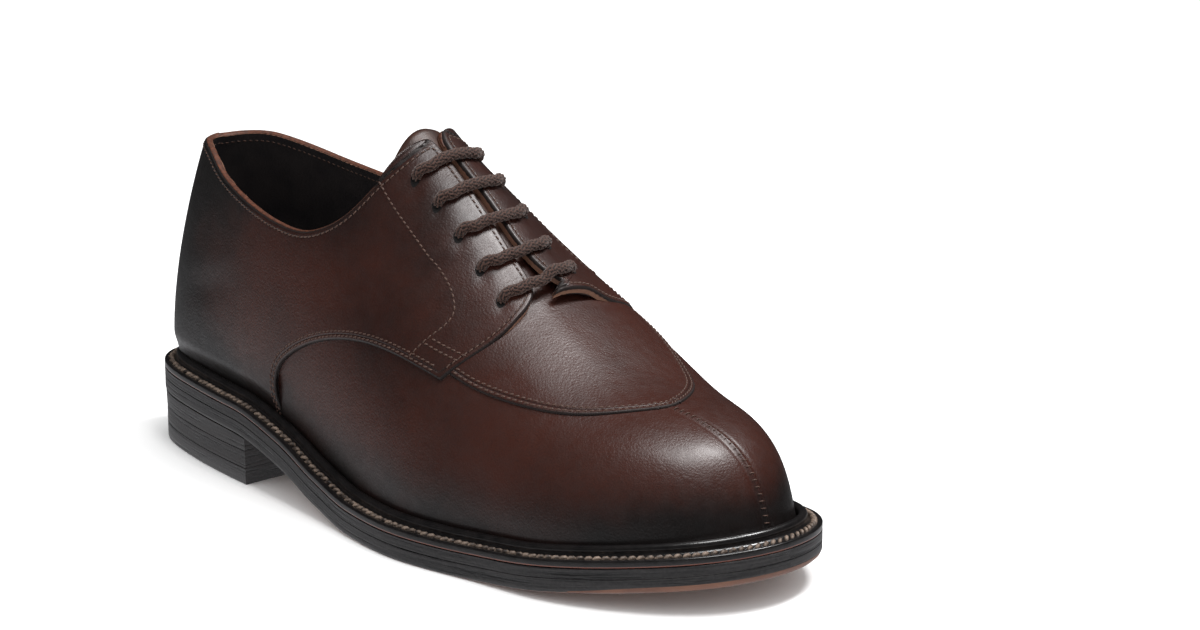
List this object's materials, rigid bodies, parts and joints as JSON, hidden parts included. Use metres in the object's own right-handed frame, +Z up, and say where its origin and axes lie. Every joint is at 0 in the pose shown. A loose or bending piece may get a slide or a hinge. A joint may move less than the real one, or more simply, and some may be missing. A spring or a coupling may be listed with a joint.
{
  "type": "apron toe derby",
  "caption": "Right derby shoe with a raised apron, a split toe, open lacing, a storm welt all round and a stacked heel.",
  "frame": {"origin": "on the floor, at the middle of the heel's length", "axes": "+X forward to the toe, +Y to the inner side of the right foot, +Z up"},
  "size_m": [0.308, 0.1092, 0.134],
  "materials": {
    "upper_leather": "polished dark brown calf, burnished darker at heel, toe and edges",
    "tongue_leather": "soft brown leather",
    "insole_leather": "dark matt leather",
    "welt_leather": "black waxed leather with a glossy bead and twisted stitching",
    "midsole_leather": "dark edge-dressed sole leather",
    "outsole_leather": "dark edge, brown underside",
    "lift_leather": "dark edge-dressed lifts",
    "top_piece_leather": "dark matt top piece",
    "lace_cotton": "round braided brown lace"
  },
  "bodies": {
    "root": {"upper": "upper_leather", "tongue": "tongue_leather", "insole": "insole_leather", "welt": "welt_leather", "midsole": "midsole_leather", "outsole": "outsole_leather", "heel_lift_1": "lift_leather", "heel_lift_2": "lift_leather", "top_piece": "top_piece_leather", "lace_bar_1": "lace_cotton", "lace_bar_2": "lace_cotton", "lace_bar_3": "lace_cotton", "lace_bar_4": "lace_cotton", "lace_bar_5": "lace_cotton"}
  },
  "joints": []
}
